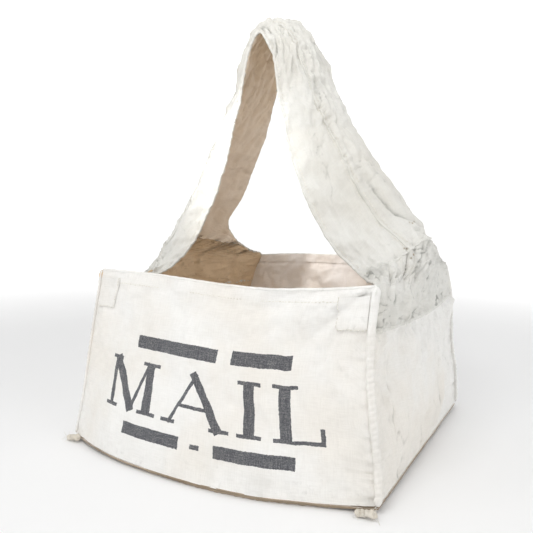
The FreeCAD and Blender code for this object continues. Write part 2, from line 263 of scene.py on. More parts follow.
def marks(grime, lines):
    """How much grime each point has, and how deep it lies in a sharp crease, which the canvas darkens as painted
    shade, both 0 to 1.
    """
    return np.stack([np.clip(np.broadcast_to(grime, lines.shape), 0, 1), np.clip(lines, 0, 1)], axis=-1)


# ---- meshes ----------------------------------------------------------------------------------------------

def new_piece(name, vertices, faces, material, uvs=None, layers=(), sharp_angle=None):
    """A smooth mesh object. Each vertex may have a place on the flat cloth, in metres, and named values."""
    mesh = bpy.data.meshes.new(name)
    mesh.from_pydata(np.asarray(vertices).tolist(), [], faces)
    if uvs is not None:
        layer = mesh.uv_layers.new(name="cloth")
        loops = np.zeros(len(mesh.loops), np.int32)
        mesh.loops.foreach_get("vertex_index", loops)
        layer.data.foreach_set("uv", np.asarray(uvs, np.float32)[loops].ravel())
    for attribute_name, values in layers:
        attribute = mesh.attributes.new(attribute_name, "FLOAT", "POINT")
        attribute.data.foreach_set("value", np.ascontiguousarray(values, np.float32))
    mesh.polygons.foreach_set("use_smooth", [True] * len(mesh.polygons))
    if sharp_angle is not None:
        mesh.set_sharp_from_angle(angle=math.radians(sharp_angle))
    mesh.materials.append(material)
    piece = bpy.data.objects.new(name, mesh)
    bpy.context.scene.collection.objects.link(piece)
    return piece


def grid_faces(columns, rows, start=0, flip=False):
    index = start + np.arange(columns * rows).reshape(rows, columns)
    a, b, c, d = index[:-1, :-1].ravel(), index[:-1, 1:].ravel(), index[1:, 1:].ravel(), index[1:, :-1].ravel()
    return np.stack([d, c, b, a] if flip else [a, b, c, d], axis=1)


def cloth(name, surface, marked, material, side=1, thickness=PLY, offset=0.0):
    """A closed sheet: the surface is its outer face, and side says which way the grid's normals look."""
    rows, columns = surface.shape[:2]
    outward = softened(normals(surface), 5) * side
    outward /= np.maximum(np.linalg.norm(outward, axis=2, keepdims=True), 1e-9)
    outer, inner = surface + outward * offset, surface + outward * (offset - thickness)
    count = rows * columns
    faces = [grid_faces(columns, rows, 0, side < 0), grid_faces(columns, rows, count, side > 0)]
    index = np.arange(count).reshape(rows, columns)
    rim = np.concatenate([index[0, :], index[1:, -1], index[-1, -2::-1], index[-2:0:-1, 0]])
    following = np.roll(rim, -1)
    walls = np.stack([rim + count, following + count, following, rim], axis=1)
    faces.append(walls if side > 0 else walls[:, ::-1])
    uv = np.stack(cloth_places(surface), axis=-1).reshape(-1, 2)
    both = np.tile(marked.reshape(-1, 2), (2, 1))
    vertices = np.concatenate([outer.reshape(-1, 3), inner.reshape(-1, 3)])
    return new_piece(name, vertices, np.concatenate(faces).tolist(), material, np.concatenate([uv, uv]),
                     (("grime", both[:, 0]), ("hollow", both[:, 1])), CLOTH_SHARP_ANGLE)


def frames_along(path, facing):
    """Tangent, outward and sideways directions along a path, outward as near as it can be to facing."""
    tangent = np.gradient(path, axis=0)
    tangent /= np.maximum(np.linalg.norm(tangent, axis=1, keepdims=True), 1e-12)
    facing = np.broadcast_to(facing, path.shape)
    outward = facing - tangent * np.sum(facing * tangent, axis=1, keepdims=True)
    outward /= np.maximum(np.linalg.norm(outward, axis=1, keepdims=True), 1e-12)
    return tangent, outward, np.cross(tangent, outward)


def roll(name, path, facing, width, height, material, pucker=0.0, pitch=0.007, seed=1.0, sides=12, twist=1.0):
    """A sewn ridge along a path: an oval in section, pinched at every stitch."""
    tangent, outward, sideways = frames_along(path, facing)
    travel = np.concatenate([[0], np.cumsum(np.linalg.norm(np.diff(path, axis=0), axis=1))])
    wobble = ripple(travel / 0.012, seed, 0.3)
    drift = ripple(travel / 0.03, seed + 4, 0.7)
    ends = np.minimum(1, np.minimum(travel, travel[-1] - travel) / (0.6 * width) + 0.35)
    vertices, uvs, swells = [], [], []
    for side in range(sides):
        angle = 2 * np.pi * side / sides
        turn = 2 * np.pi * travel / pitch + 2.4 * wobble + twist * angle
        swell = 1 - pucker * (0.5 + 0.5 * np.cos(turn)) + 0.5 * pucker * wobble
        swells.append(swell)
        lumpy = 1 + pucker * 0.6 * ripple(travel / 0.009, seed + 9 + angle * 0.8, 0.5)
        out = np.sin(angle) * height / 2 * swell * lumpy * ends
        along_side = (np.cos(angle) * width / 2 * (0.85 + 0.15 * swell) * lumpy * ends
                      + drift * width * 0.12 * pucker)
        vertices.append(path + outward * out[:, None] + sideways * along_side[:, None])
        uvs.append(np.stack([np.full(len(path), width * side / sides), travel], axis=1))
    stacked = np.stack(vertices, axis=1)
    count = len(path)
    index = np.arange(count * sides).reshape(count, sides)
    right = np.roll(index, -1, axis=1)
    faces = np.stack([index[:-1], right[:-1], right[1:], index[1:]], axis=-1).reshape(-1, 4)
    caps = []
    flat = stacked.reshape(-1, 3)
    for ring, order in ((index[0], 1), (index[-1], -1)):
        middle = len(flat)
        flat = np.concatenate([flat, [flat[ring].mean(0)]])
        caps += [[middle, b, a][::order] for a, b in zip(ring, np.roll(ring, -1))]
    uv = np.concatenate([np.stack(uvs, axis=1).reshape(-1, 2), [[0, 0]], [[0, travel[-1]]]])
    # Where the stitches pinch the ridge in, darkened by the canvas as painted shade.
    hollow = np.concatenate([((1 - np.stack(swells, axis=1)) * 0.75).ravel(), [0, 0]])
    mesh_faces = faces.tolist() + [[int(i) for i in cap] for cap in caps]
    return new_piece(name, flat, mesh_faces, material, uv, [("hollow", hollow)])


def join_parts(name, parts, material):
    """One mesh object from several lists of vertices and faces."""
    vertices, faces, start = [], [], 0
    for part_vertices, part_faces in parts:
        vertices.append(part_vertices)
        faces += [[int(i) + start for i in face] for face in part_faces]
        start += len(part_vertices)
    return new_piece(name, np.concatenate(vertices), faces, material)


def spaced(path, step):
    """The path again, with points an even step apart."""
    travel = np.concatenate([[0], np.cumsum(np.linalg.norm(np.diff(path, axis=0), axis=1))])
    count = max(int(round(travel[-1] / step)), 2)
    where = np.linspace(0, travel[-1], count + 1)
    return np.stack([np.interp(where, travel, path[:, k]) for k in range(3)], axis=1)


def stitch(start, end, outward, radius, sink):
    """One stitch: a short thread that rises from the cloth, runs along it and goes back in."""
    along = end - start
    length = np.linalg.norm(along)
    along = along / length
    side = np.cross(along, outward)
    vertices = []
    stations = ((0.0, -1.0, 0.7), (0.14, 0.35, 0.95), (0.5, 0.75, 1.0), (0.86, 0.35, 0.95), (1.0, -1.0, 0.7))
    for share, lift, size in stations:
        centre = start + along * length * share + outward * (lift * sink)
        for k in range(6):
            angle = k * np.pi / 3
            vertices.append(centre + (side * np.cos(angle) + outward * np.sin(angle)) * radius * size)
    faces = [[r * 6 + k, r * 6 + (k + 1) % 6, (r + 1) * 6 + (k + 1) % 6, (r + 1) * 6 + k]
             for r in range(len(stations) - 1) for k in range(6)]
    last = (len(stations) - 1) * 6
    faces += [[5, 4, 3, 2, 1, 0], [last + k for k in range(6)]]
    return np.array(vertices), faces


def stitching(name, path, facing, material, pitch=0.0042, length=0.0029, radius=0.00042, worn=0.0, seed=1):
    """A row of stitches along a path that lies on the cloth. worn is the share that has come out."""
    rng = np.random.default_rng(seed)
    even = spaced(path, pitch)
    facing = np.asarray(facing, float)
    if facing.ndim == 2:
        picks = np.linspace(0, len(facing) - 1, len(even)).round().astype(int)
        facing = facing[picks]
    tangent, outward, sideways = frames_along(even, facing)
    gone = ripple(np.arange(len(even)) / 5.0, 0.5, seed + 0.37) * 0.5 + 0.5 < worn
    parts = []
    for k in range(len(even) - 1):
        if gone[k]:
            continue
        wander = sideways[k] * rng.normal(0, 0.00022)
        middle = even[k] + tangent[k] * pitch / 2 + wander
        half = tangent[k] * length * rng.uniform(0.42, 0.55) + sideways[k] * rng.normal(0, 0.0001)
        parts.append(stitch(middle - half, middle + half, outward[k], radius, 0.0005))
    return join_parts(name, parts, material)


def on_sheet(sheet, u, v):
    """Points on a finished grid at shares u and v."""
    rows, columns = sheet.shape[:2]
    x = np.clip(np.asarray(u, float), 0, 1) * (columns - 1)
    y = np.clip(np.asarray(v, float), 0, 1) * (rows - 1)
    i, j = np.minimum(x.astype(int), columns - 2), np.minimum(y.astype(int), rows - 2)
    fx, fy = (x - i)[..., None], (y - j)[..., None]
    return ((sheet[j, i] * (1 - fx) + sheet[j, i + 1] * fx) * (1 - fy)
            + (sheet[j + 1, i] * (1 - fx) + sheet[j + 1, i + 1] * fx) * fy)


# ---- cloth simulation ------------------------------------------------------------------------------------

def settle(surface, pinned, slack, frames=16, gravity=0.0, stiffness=12.0, bending=0.6, cap=0.012, seed=1.0):
    """Simulates a sheet of canvas cut a little too large for its place, so that it buckles, and returns its
    points. pinned is 1 where it is sewn and 0 where it is free."""
    rows, columns = surface.shape[:2]
    u, v = lengths(surface)
    start = surface + normals(surface) * (0.0012 * field(u / 0.05, v / 0.05, seed) * (1 - pinned))[..., None]
    mesh = bpy.data.meshes.new("settling")
    mesh.from_pydata(start.reshape(-1, 3).tolist(), [], grid_faces(columns, rows).tolist())
    sheet = bpy.data.objects.new("settling", mesh)
    bpy.context.scene.collection.objects.link(sheet)
    group = sheet.vertex_groups.new(name="sewn")
    flat = pinned.ravel()
    for index, weight in enumerate(flat):
        if weight > 0:
            group.add([index], float(weight), "REPLACE")
    modifier = sheet.modifiers.new("cloth", "CLOTH")
    settings = modifier.settings
    settings.quality = 6
    settings.mass = 0.05
    settings.air_damping = 2.0
    settings.tension_stiffness = settings.compression_stiffness = stiffness
    settings.shear_stiffness = stiffness * 0.6
    settings.bending_stiffness = bending
    settings.vertex_group_mass = "sewn"
    settings.pin_stiffness = 1.0
    settings.shrink_min = -slack
    settings.effector_weights.gravity = gravity
    modifier.collision_settings.use_collision = False
    modifier.collision_settings.use_self_collision = False
    modifier.point_cache.frame_start, modifier.point_cache.frame_end = 1, frames
    scene = bpy.context.scene
    for frame_number in range(1, frames + 1):
        scene.frame_set(frame_number)
    result = sheet.evaluated_get(bpy.context.evaluated_depsgraph_get()).to_mesh()
    settled = np.zeros(len(result.vertices) * 3)
    result.vertices.foreach_get("co", settled)
    settled = settled.reshape(rows, columns, 3)
    bpy.data.objects.remove(sheet)
    bpy.data.meshes.remove(mesh)
    scene.frame_set(1)
    move = settled - surface
    size = np.maximum(np.linalg.norm(move, axis=-1, keepdims=True), 1e-9)
    return surface + move * np.minimum(1, cap / size)


def finer(surface, columns, rows):
    """The same sheet with more points."""
    down = smooth(surface, np.linspace(0, 1, rows))
    return np.swapaxes(smooth(np.swapaxes(down, 0, 1), np.linspace(0, 1, columns)), 0, 1)


def edge_pins(columns, rows, left=1, right=1, bottom=1, top=1, fade=2):
    """Pin weights for a grid, falling from 1 at each sewn edge over a few cells."""
    x, y = np.meshgrid(np.arange(columns), np.arange(rows))
    weight = np.zeros((rows, columns))
    for keep, distance in ((left, x), (right, columns - 1 - x), (bottom, y), (top, rows - 1 - y)):
        weight = np.maximum(weight, keep * np.clip(1 - distance / fade, 0, 1))
    return weight


# ---- materials -------------------------------------------------------------------------------------------

class Shade:
    """Builds one material's nodes."""

    def __init__(self, name):
        self.material = bpy.data.materials.new(name)
        self.material.use_nodes = True
        self.tree = self.material.node_tree
        self.tree.nodes.clear()
        self.shader = self.node("ShaderNodeBsdfPrincipled")
        output = self.node("ShaderNodeOutputMaterial")
        self.link(self.shader.outputs[0], output.inputs["Surface"])

    def node(self, kind, **settings):
        made = self.tree.nodes.new(kind)
        for key, value in settings.items():
            setattr(made, key, value)
        return made

    def link(self, source, target):
        self.tree.links.new(source, target)

    def put(self, socket, value):
        if hasattr(value, "links"):
            self.link(value, socket)
        else:
            socket.default_value = value

    def math(self, operation, a, b=None, clamp=False):
        made = self.node("ShaderNodeMath", operation=operation, use_clamp=clamp)
        self.put(made.inputs[0], a)
        if b is not None:
            self.put(made.inputs[1], b)
        return made.outputs[0]

    def ramp(self, value, low, high, out_low=0.0, out_high=1.0):
        made = self.node("ShaderNodeMapRange", clamp=True, interpolation_type="SMOOTHSTEP")
        for socket, given in zip(made.inputs, (value, low, high, out_low, out_high)):
            self.put(socket, given)
        return made.outputs[0]

    def mix(self, share, first, second, blend="MIX"):
        made = self.node("ShaderNodeMix", data_type="RGBA", blend_type=blend, clamp_factor=True)
        self.put(made.inputs[0], share)
        self.put(made.inputs[6], first)
        self.put(made.inputs[7], second)
        return made.outputs[2]

    def noise(self, vector, scale, detail=3.0, roughness=0.55, stretch=None):
        if stretch is not None:
            squeezed = self.node("ShaderNodeMapping")
            squeezed.inputs["Scale"].default_value = stretch
            self.link(vector, squeezed.inputs["Vector"])
            vector = squeezed.outputs[0]
        made = self.node("ShaderNodeTexNoise")
        self.link(vector, made.inputs["Vector"])
        made.inputs["Scale"].default_value = scale
        made.inputs["Detail"].default_value = detail
        made.inputs["Roughness"].default_value = roughness
        return made.outputs["Fac"]

    def attribute(self, name):
        return self.node("ShaderNodeAttribute", attribute_name=name).outputs["Fac"]


def colour(red, green, blue):
    """A colour given in sRGB steps of 0 to 255."""
    linear = [((c / 255 + 0.055) / 1.055) ** 2.4 if c > 10 else c / 255 / 12.92 for c in (red, green, blue)]
    return (*linear, 1)


THREADS = 0.00085                  # from one yarn of the canvas to the next


def canvas(name, clean, warm, dirt_and_shade_colour, dirt_and_shade_strength=1.0, print_mask=None, weave_depth=1.0):
    """Worn cotton canvas: a plain weave with uneven yarns, fine crumples, yellowed patches, grey grime in clouds and
    specks, and painted shade that darkens the creases towards the same colour."""
    s = Shade(name)
    place = s.node("ShaderNodeTexCoord").outputs["Object"]
    cloth_uv = s.node("ShaderNodeUVMap", uv_map="cloth").outputs[0]
    split = s.node("ShaderNodeSeparateXYZ")
    s.link(cloth_uv, split.inputs[0])
    waves = [s.math("SINE", s.math("MULTIPLY", split.outputs[k], 2 * math.pi / THREADS)) for k in (0, 1)]
    weave = s.math("MULTIPLY", waves[0], waves[1])
    warp = s.noise(cloth_uv, 1.0, 2.0, 0.6, (1 / 0.0011, 1 / 0.018, 1))
    weft = s.noise(cloth_uv, 1.0, 2.0, 0.6, (1 / 0.016, 1 / 0.0011, 1))
    yarns = s.math("ADD", s.math("MULTIPLY", warp, 0.5), s.math("MULTIPLY", weft, 0.5))
    patches = s.noise(place, 7.0, 4.0, 0.6)
    blotches = s.noise(place, 24.0, 5.0, 0.65)
    specks = s.noise(place, 130.0, 3.0, 0.6)
    crumple = s.noise(place, 95.0, 5.0, 0.62)
    hollow = s.attribute("hollow")
    grime = s.attribute("grime")

    base = s.mix(s.ramp(patches, 0.38, 0.68), clean, warm)
    base = s.mix(s.math("MULTIPLY", s.ramp(yarns, 0.4, 0.62), 0.16), base, colour(212, 210, 205), "MULTIPLY")
    # Painted shade: the creases marked in hollow darken towards the grime colour, more where the grime blotches lie.
    crease_shade = s.math("MULTIPLY", s.ramp(hollow, 0.12, 0.95),
                       s.ramp(blotches, 0.34, 0.62, 0.30, 0.85 * dirt_and_shade_strength))
    cloud = s.math("MULTIPLY", s.ramp(blotches, 0.46, 0.74), s.math("ADD", s.math("MULTIPLY", grime, 0.38), 0.03))
    spread = s.math("MULTIPLY", cloud, dirt_and_shade_strength)
    dirt_and_shade = s.math("MAXIMUM", crease_shade, spread)
    speckled = s.math("MULTIPLY", s.ramp(specks, 0.56, 0.72),
                      s.math("ADD", s.math("MULTIPLY", grime, 0.30), 0.03))
    dirt_and_shade = s.math("MAXIMUM", dirt_and_shade, speckled)
    shown = s.mix(dirt_and_shade, base, dirt_and_shade_colour)
    if print_mask is not None:
        shown = print_mask(s, cloth_uv, shown, weave, yarns, blotches)
    s.link(shown, s.shader.inputs["Base Color"])
    s.shader.inputs["Roughness"].default_value = 0.93
    s.shader.inputs["Specular IOR Level"].default_value = 0.22
    s.shader.inputs["Sheen Weight"].default_value = 0.12
    s.shader.inputs["Sheen Roughness"].default_value = 0.6

    fine = s.node("ShaderNodeBump")
    fine.inputs["Strength"].default_value = 0.35 * weave_depth
    fine.inputs["Distance"].default_value = 0.00035
    s.link(s.math("ADD", s.math("MULTIPLY", weave, 0.35), s.math("MULTIPLY", yarns, 1.3)), fine.inputs["Height"])
    coarse = s.node("ShaderNodeBump")
    coarse.inputs["Strength"].default_value = 0.30
    coarse.inputs["Distance"].default_value = 0.0022
    s.link(crumple, coarse.inputs["Height"])
    s.link(fine.outputs[0], coarse.inputs["Normal"])
    s.link(coarse.outputs[0], s.shader.inputs["Normal"])
    return s.material


def thread_material(name, light, dark):
    """Twisted cotton thread."""
    s = Shade(name)
    place = s.node("ShaderNodeTexCoord").outputs["Object"]
    uneven = s.noise(place, 420.0, 3.0, 0.6)
    aged = s.noise(place, 22.0, 3.0, 0.6)
    shown = s.mix(s.ramp(uneven, 0.35, 0.65), light, dark)
    shown = s.mix(s.math("MULTIPLY", s.ramp(aged, 0.5, 0.75), 0.5), shown, colour(176, 168, 152))
    s.link(shown, s.shader.inputs["Base Color"])
    s.shader.inputs["Roughness"].default_value = 0.8
    s.shader.inputs["Specular IOR Level"].default_value = 0.3
    bump = s.node("ShaderNodeBump")
    bump.inputs["Strength"].default_value = 0.5
    bump.inputs["Distance"].default_value = 0.0002
    s.link(uneven, bump.inputs["Height"])
    s.link(bump.outputs[0], s.shader.inputs["Normal"])
    return s.material


# The print: block letters and plain bars. Each stroke is (centre x, centre z, half width, half height, lean in
# degrees), in millimetres on the front panel, measured from its middle.
def letter_strokes():
    cap, stem, hair, serif = 62.0, 6.6, 2.6, 2.1
    half = cap / 2

    def post(x, width, spread):
        return [(x, 0, width, half, 0)] + [(x, end * (half - serif), width + spread, serif, 0) for end in (1, -1)]

    def slope(x, width, run):
        lean = math.degrees(math.atan2(run, cap))
        return [(x, 0, width * math.cos(math.radians(lean)), half / math.cos(math.radians(lean)), lean)]

    strokes = post(-147, hair, 8) + post(-87, stem, 8)
    strokes += slope(-130, stem, -34) + slope(-103, hair, 26)
    strokes += slope(-33, hair, 40) + slope(0, stem, -40) + [(-18, -9, 20, hair * 0.8, 0)]
    strokes += [(-53, serif - half, 10, serif, 0), (20, serif - half, 13, serif, 0)]
    strokes += post(57, stem, 8)
    strokes += post(100, stem, 8) + [(119, serif - half, 24, serif, 0), (141, 9 - half, 2.6, 9, 0)]
    return strokes


def printed(s, cloth_uv, below, weave, yarns, blotches):
    """Worn dark ink over the cloth."""
    centred = s.node("ShaderNodeVectorMath", operation="SUBTRACT")
    s.link(cloth_uv, centred.inputs[0])
    centred.inputs[1].default_value = (PRINT_CENTRE[0], PRINT_CENTRE[1], 0)
    ragged = s.node("ShaderNodeTexNoise")
    s.link(cloth_uv, ragged.inputs["Vector"])
    ragged.inputs["Scale"].default_value = 420.0
    ragged.inputs["Detail"].default_value = 3.0
    offset = s.node("ShaderNodeVectorMath", operation="MULTIPLY_ADD")
    s.link(ragged.outputs["Color"], offset.inputs[0])
    offset.inputs[1].default_value = (0.0016, 0.0016, 0)
    s.link(centred.outputs[0], offset.inputs[2])
    strokes = [(x, z - 4, w, h, lean) for x, z, w, h, lean in letter_strokes()]
    strokes += [(-52, 51, 62, 8.0, 0), (68, 51, 38, 8.0, 0)]                                 # bars above
    strokes += [(-78, -55, 44, 7.0, 0), (-10, -55, 6, 2.6, 0), (62, -55, 48, 7.0, 0)]        # and below
    ink = None
    for x, z, w, h, lean in strokes:
        turned = s.node("ShaderNodeMapping", vector_type="TEXTURE")
        turned.inputs["Location"].default_value = (x / 1000, z / 1000, 0)
        turned.inputs["Rotation"].default_value = (0, 0, math.radians(-lean))
        turned.inputs["Scale"].default_value = (w / 1000, h / 1000, 1)
        s.link(offset.outputs[0], turned.inputs["Vector"])
        size = s.node("ShaderNodeVectorMath", operation="ABSOLUTE")
        s.link(turned.outputs[0], size.inputs[0])
        parts = s.node("ShaderNodeSeparateXYZ")
        s.link(size.outputs[0], parts.inputs[0])
        inside = s.math("LESS_THAN", s.math("MAXIMUM", parts.outputs[0], parts.outputs[1]), 1.0)
        ink = inside if ink is None else s.math("MAXIMUM", ink, inside)
    worn = s.noise(cloth_uv, 700.0, 3.0, 0.7)
    wear = s.math("ADD", s.math("MULTIPLY", worn, 0.6), s.math("MULTIPLY", yarns, 0.6))
    coverage = s.ramp(wear, 0.52, 0.80, 0.96, 0.70)
    coverage = s.math("MULTIPLY", coverage, s.ramp(blotches, 0.60, 0.8, 1.0, 0.82))
    return s.mix(s.math("MULTIPLY", ink, coverage), below, colour(60, 62, 70))


# ---- the finished sheets ---------------------------------------------------------------------------------

SPLIT_ROW = 8                      # the level row where the strap's lower and upper pieces meet
LAST_ROW = len(LOOP) - 1
YOKE_TOP = 3.45                    # the row where the strap is sewn to the yoke
PANEL_STEP = 0.0026                # spacing of points on the long walls


def cells(surface, step):
    """How many columns and rows give this spacing."""
    u, v = lengths(surface)
    return int(u.max() / step) + 1, int(v.max() / step) + 1


def edge_fade(distance, reach):
    return np.exp(-np.maximum(distance, 0) / reach)


def edge_puckers(upward, distance, seed):
    """Short gathers that run in from a sewn upright edge."""
    return (ripple(upward / 0.0085, distance / 0.06, seed)
            + 0.5 * ripple(upward / 0.005, distance / 0.03, seed + 9))


def long_wall(side, slack, seed, calm):
    """The front or back wall, settled and then crumpled. calm is how deep its small creases are, in metres."""
    sign = 1 if side == "front" else -1
    foot, lip = (FRONT_FOOT, FRONT_LIP) if side == "front" else (BACK_FOOT, BACK_LIP)
    columns, rows = 78, 44
    u, v = grid(columns, rows)
    plain = wall(CORNERS[side, "left"], CORNERS[side, "right"], foot, lip, u, v)
    settled = settle(plain, edge_pins(columns, rows, top=0.35), slack, cap=0.008, seed=seed)
    columns, rows = cells(plain, PANEL_STEP)
    sheet = finer(settled, columns, rows)
    u, v = grid(columns, rows)
    along, upward = lengths(sheet)
    outward = normals(sheet) * sign
    from_left, from_right, from_top = along, along[:, -1:] - along, upward[-1:] - upward
    move = 0.0018 * field(along / 0.12, upward / 0.14, seed + 1, 2)
    move += calm * field(along / 0.034, upward / 0.044, seed + 2, 2)
    first = crease(along / 0.045 + 0.5 * upward / 0.09, upward / 0.075, seed + 3, 5.0)
    second = crease(along / 0.080 - 0.6 * upward / 0.05, upward / 0.035, seed + 13, 5.0)
    move -= calm * (1.1 * first + 0.9 * second)
    # lines: how deep each point lies in a crease or pucker, painted as shade by the canvas
    lines = 0.30 * first + 0.25 * second
    for distance, strength, key in ((from_left, 0.0015, 4), (from_right, 0.0046, 5)):
        puckers = edge_puckers(upward, distance, seed + key)
        move += strength * puckers * edge_fade(distance, 0.016) * np.minimum(1, distance / 0.004)
        lines = lines + 150 * strength * smoothstep(0.2, 0.8, -puckers) * edge_fade(distance, 0.012)
    move += 0.0005 * ripple(along / 0.014, from_top / 0.05, seed + 6) * edge_fade(np.abs(from_top - 0.018), 0.008)
    move += 0.0009 * ripple(along / 0.022, upward / 0.06, seed + 7) * edge_fade(upward, 0.016)
    if side == "front":                  # drag lines fanning from the right corners of the mouth and the foot
        angle = np.arctan2(from_top + 0.01, from_right + 0.01)
        reach = np.hypot(from_top, from_right)
        move += 0.0036 * ripple(angle * 5.2, reach / 0.16, seed + 8) * np.exp(-((reach - 0.07) / 0.075) ** 2)
        angle = np.arctan2(upward + 0.02, from_right + 0.02)
        reach = np.hypot(upward, from_right)
        move += 0.0028 * ripple(angle * 4.4, reach / 0.12, seed + 9) * np.exp(-((reach - 0.08) / 0.07) ** 2)
    hem = 0.0010 * smoothstep(0.0205, 0.0175, from_top)
    move = move * np.minimum(1, np.minimum(from_left, from_right) / 0.006) + hem
    sheet = sheet + outward * move[..., None]
    grime = (0.7 * edge_fade(upward, 0.014) + 0.2 * edge_fade(from_top, 0.006) + 0.5 * edge_fade(from_right, 0.026)
             + 0.30 * edge_fade(from_left, 0.016)
             + 0.25 * smoothstep(0.0, 0.8, ripple(along / 0.13, upward / 0.10, seed + 12)))
    if side == "back":
        grime = grime + 0.2
    return sheet, marks(grime, lines)


def end_wall(side, slack, seed):
    """An end wall below its yoke, settled and then crumpled."""
    columns, rows = 72, 38
    u, v = grid(columns, rows)
    plain = gusset(side, u, v)
    settled = settle(plain, edge_pins(columns, rows), slack, cap=0.010, seed=seed)
    columns, rows = cells(plain, PANEL_STEP)
    sheet = finer(settled, columns, rows)
    along, upward = lengths(sheet)
    width, height = along[:, -1:], upward[-1:]
    outward = normals(sheet) * SIGN[side]
    move = 0.0048 * field(along / 0.075, upward / 0.13, seed + 1, 2)
    move += 0.0022 * field(along / 0.024, upward / 0.050, seed + 2, 3)
    first = crease(along / 0.035 + 0.4 * upward / 0.1, upward / 0.100, seed + 3, 5.0)
    second = crease(along / 0.050 - 0.5 * upward / 0.06, upward / 0.040, seed + 13, 5.5)
    move -= 0.0022 * first + 0.0016 * second
    # lines: how deep each point lies in a crease, pucker or gather, painted as shade by the canvas
    lines = 0.65 * first + 0.5 * second
    for distance, key in ((along, 4), (width - along, 5)):
        puckers = edge_puckers(upward, distance, seed + key)
        move += 0.0046 * puckers * edge_fade(distance, 0.018)
        lines = lines + 0.9 * smoothstep(0.25, 1.0, -puckers) * edge_fade(distance, 0.014)
    drawn_up = (ripple(along / 0.0085, upward / 0.10, seed + 6)
                + 0.6 * ripple(along / 0.005, upward / 0.045, seed + 16))
    move += 0.0046 * drawn_up * edge_fade(height - upward, 0.032)
    lines = lines + 0.8 * smoothstep(0.2, 1.0, -drawn_up) * edge_fade(height - upward, 0.030)
    move += 0.0013 * ripple(along / 0.020, upward / 0.09, seed + 7) * edge_fade(upward, 0.020)
    rim = np.minimum(np.minimum(along, width - along), np.minimum(upward, height - upward))
    sheet = sheet + outward * (move * np.minimum(1, rim / 0.007))[..., None]
    grime = (0.7 * edge_fade(upward, 0.016) + 0.45 * edge_fade(height - upward, 0.03) + 0.4 * edge_fade(along, 0.02)
             + 0.45 * smoothstep(-0.1, 0.8, ripple(along / 0.12, upward / 0.09, seed + 12)))
    return sheet, marks(grime, lines)


def seam_share(from_seam):
    """Where the strap's lengthwise seam runs, as a share of its breadth."""
    return np.interp(from_seam, (YOKE_TOP, 4.2, 5.0, 6.5, 12.0), (0.47, 0.43, 0.38, 0.34, 0.37))


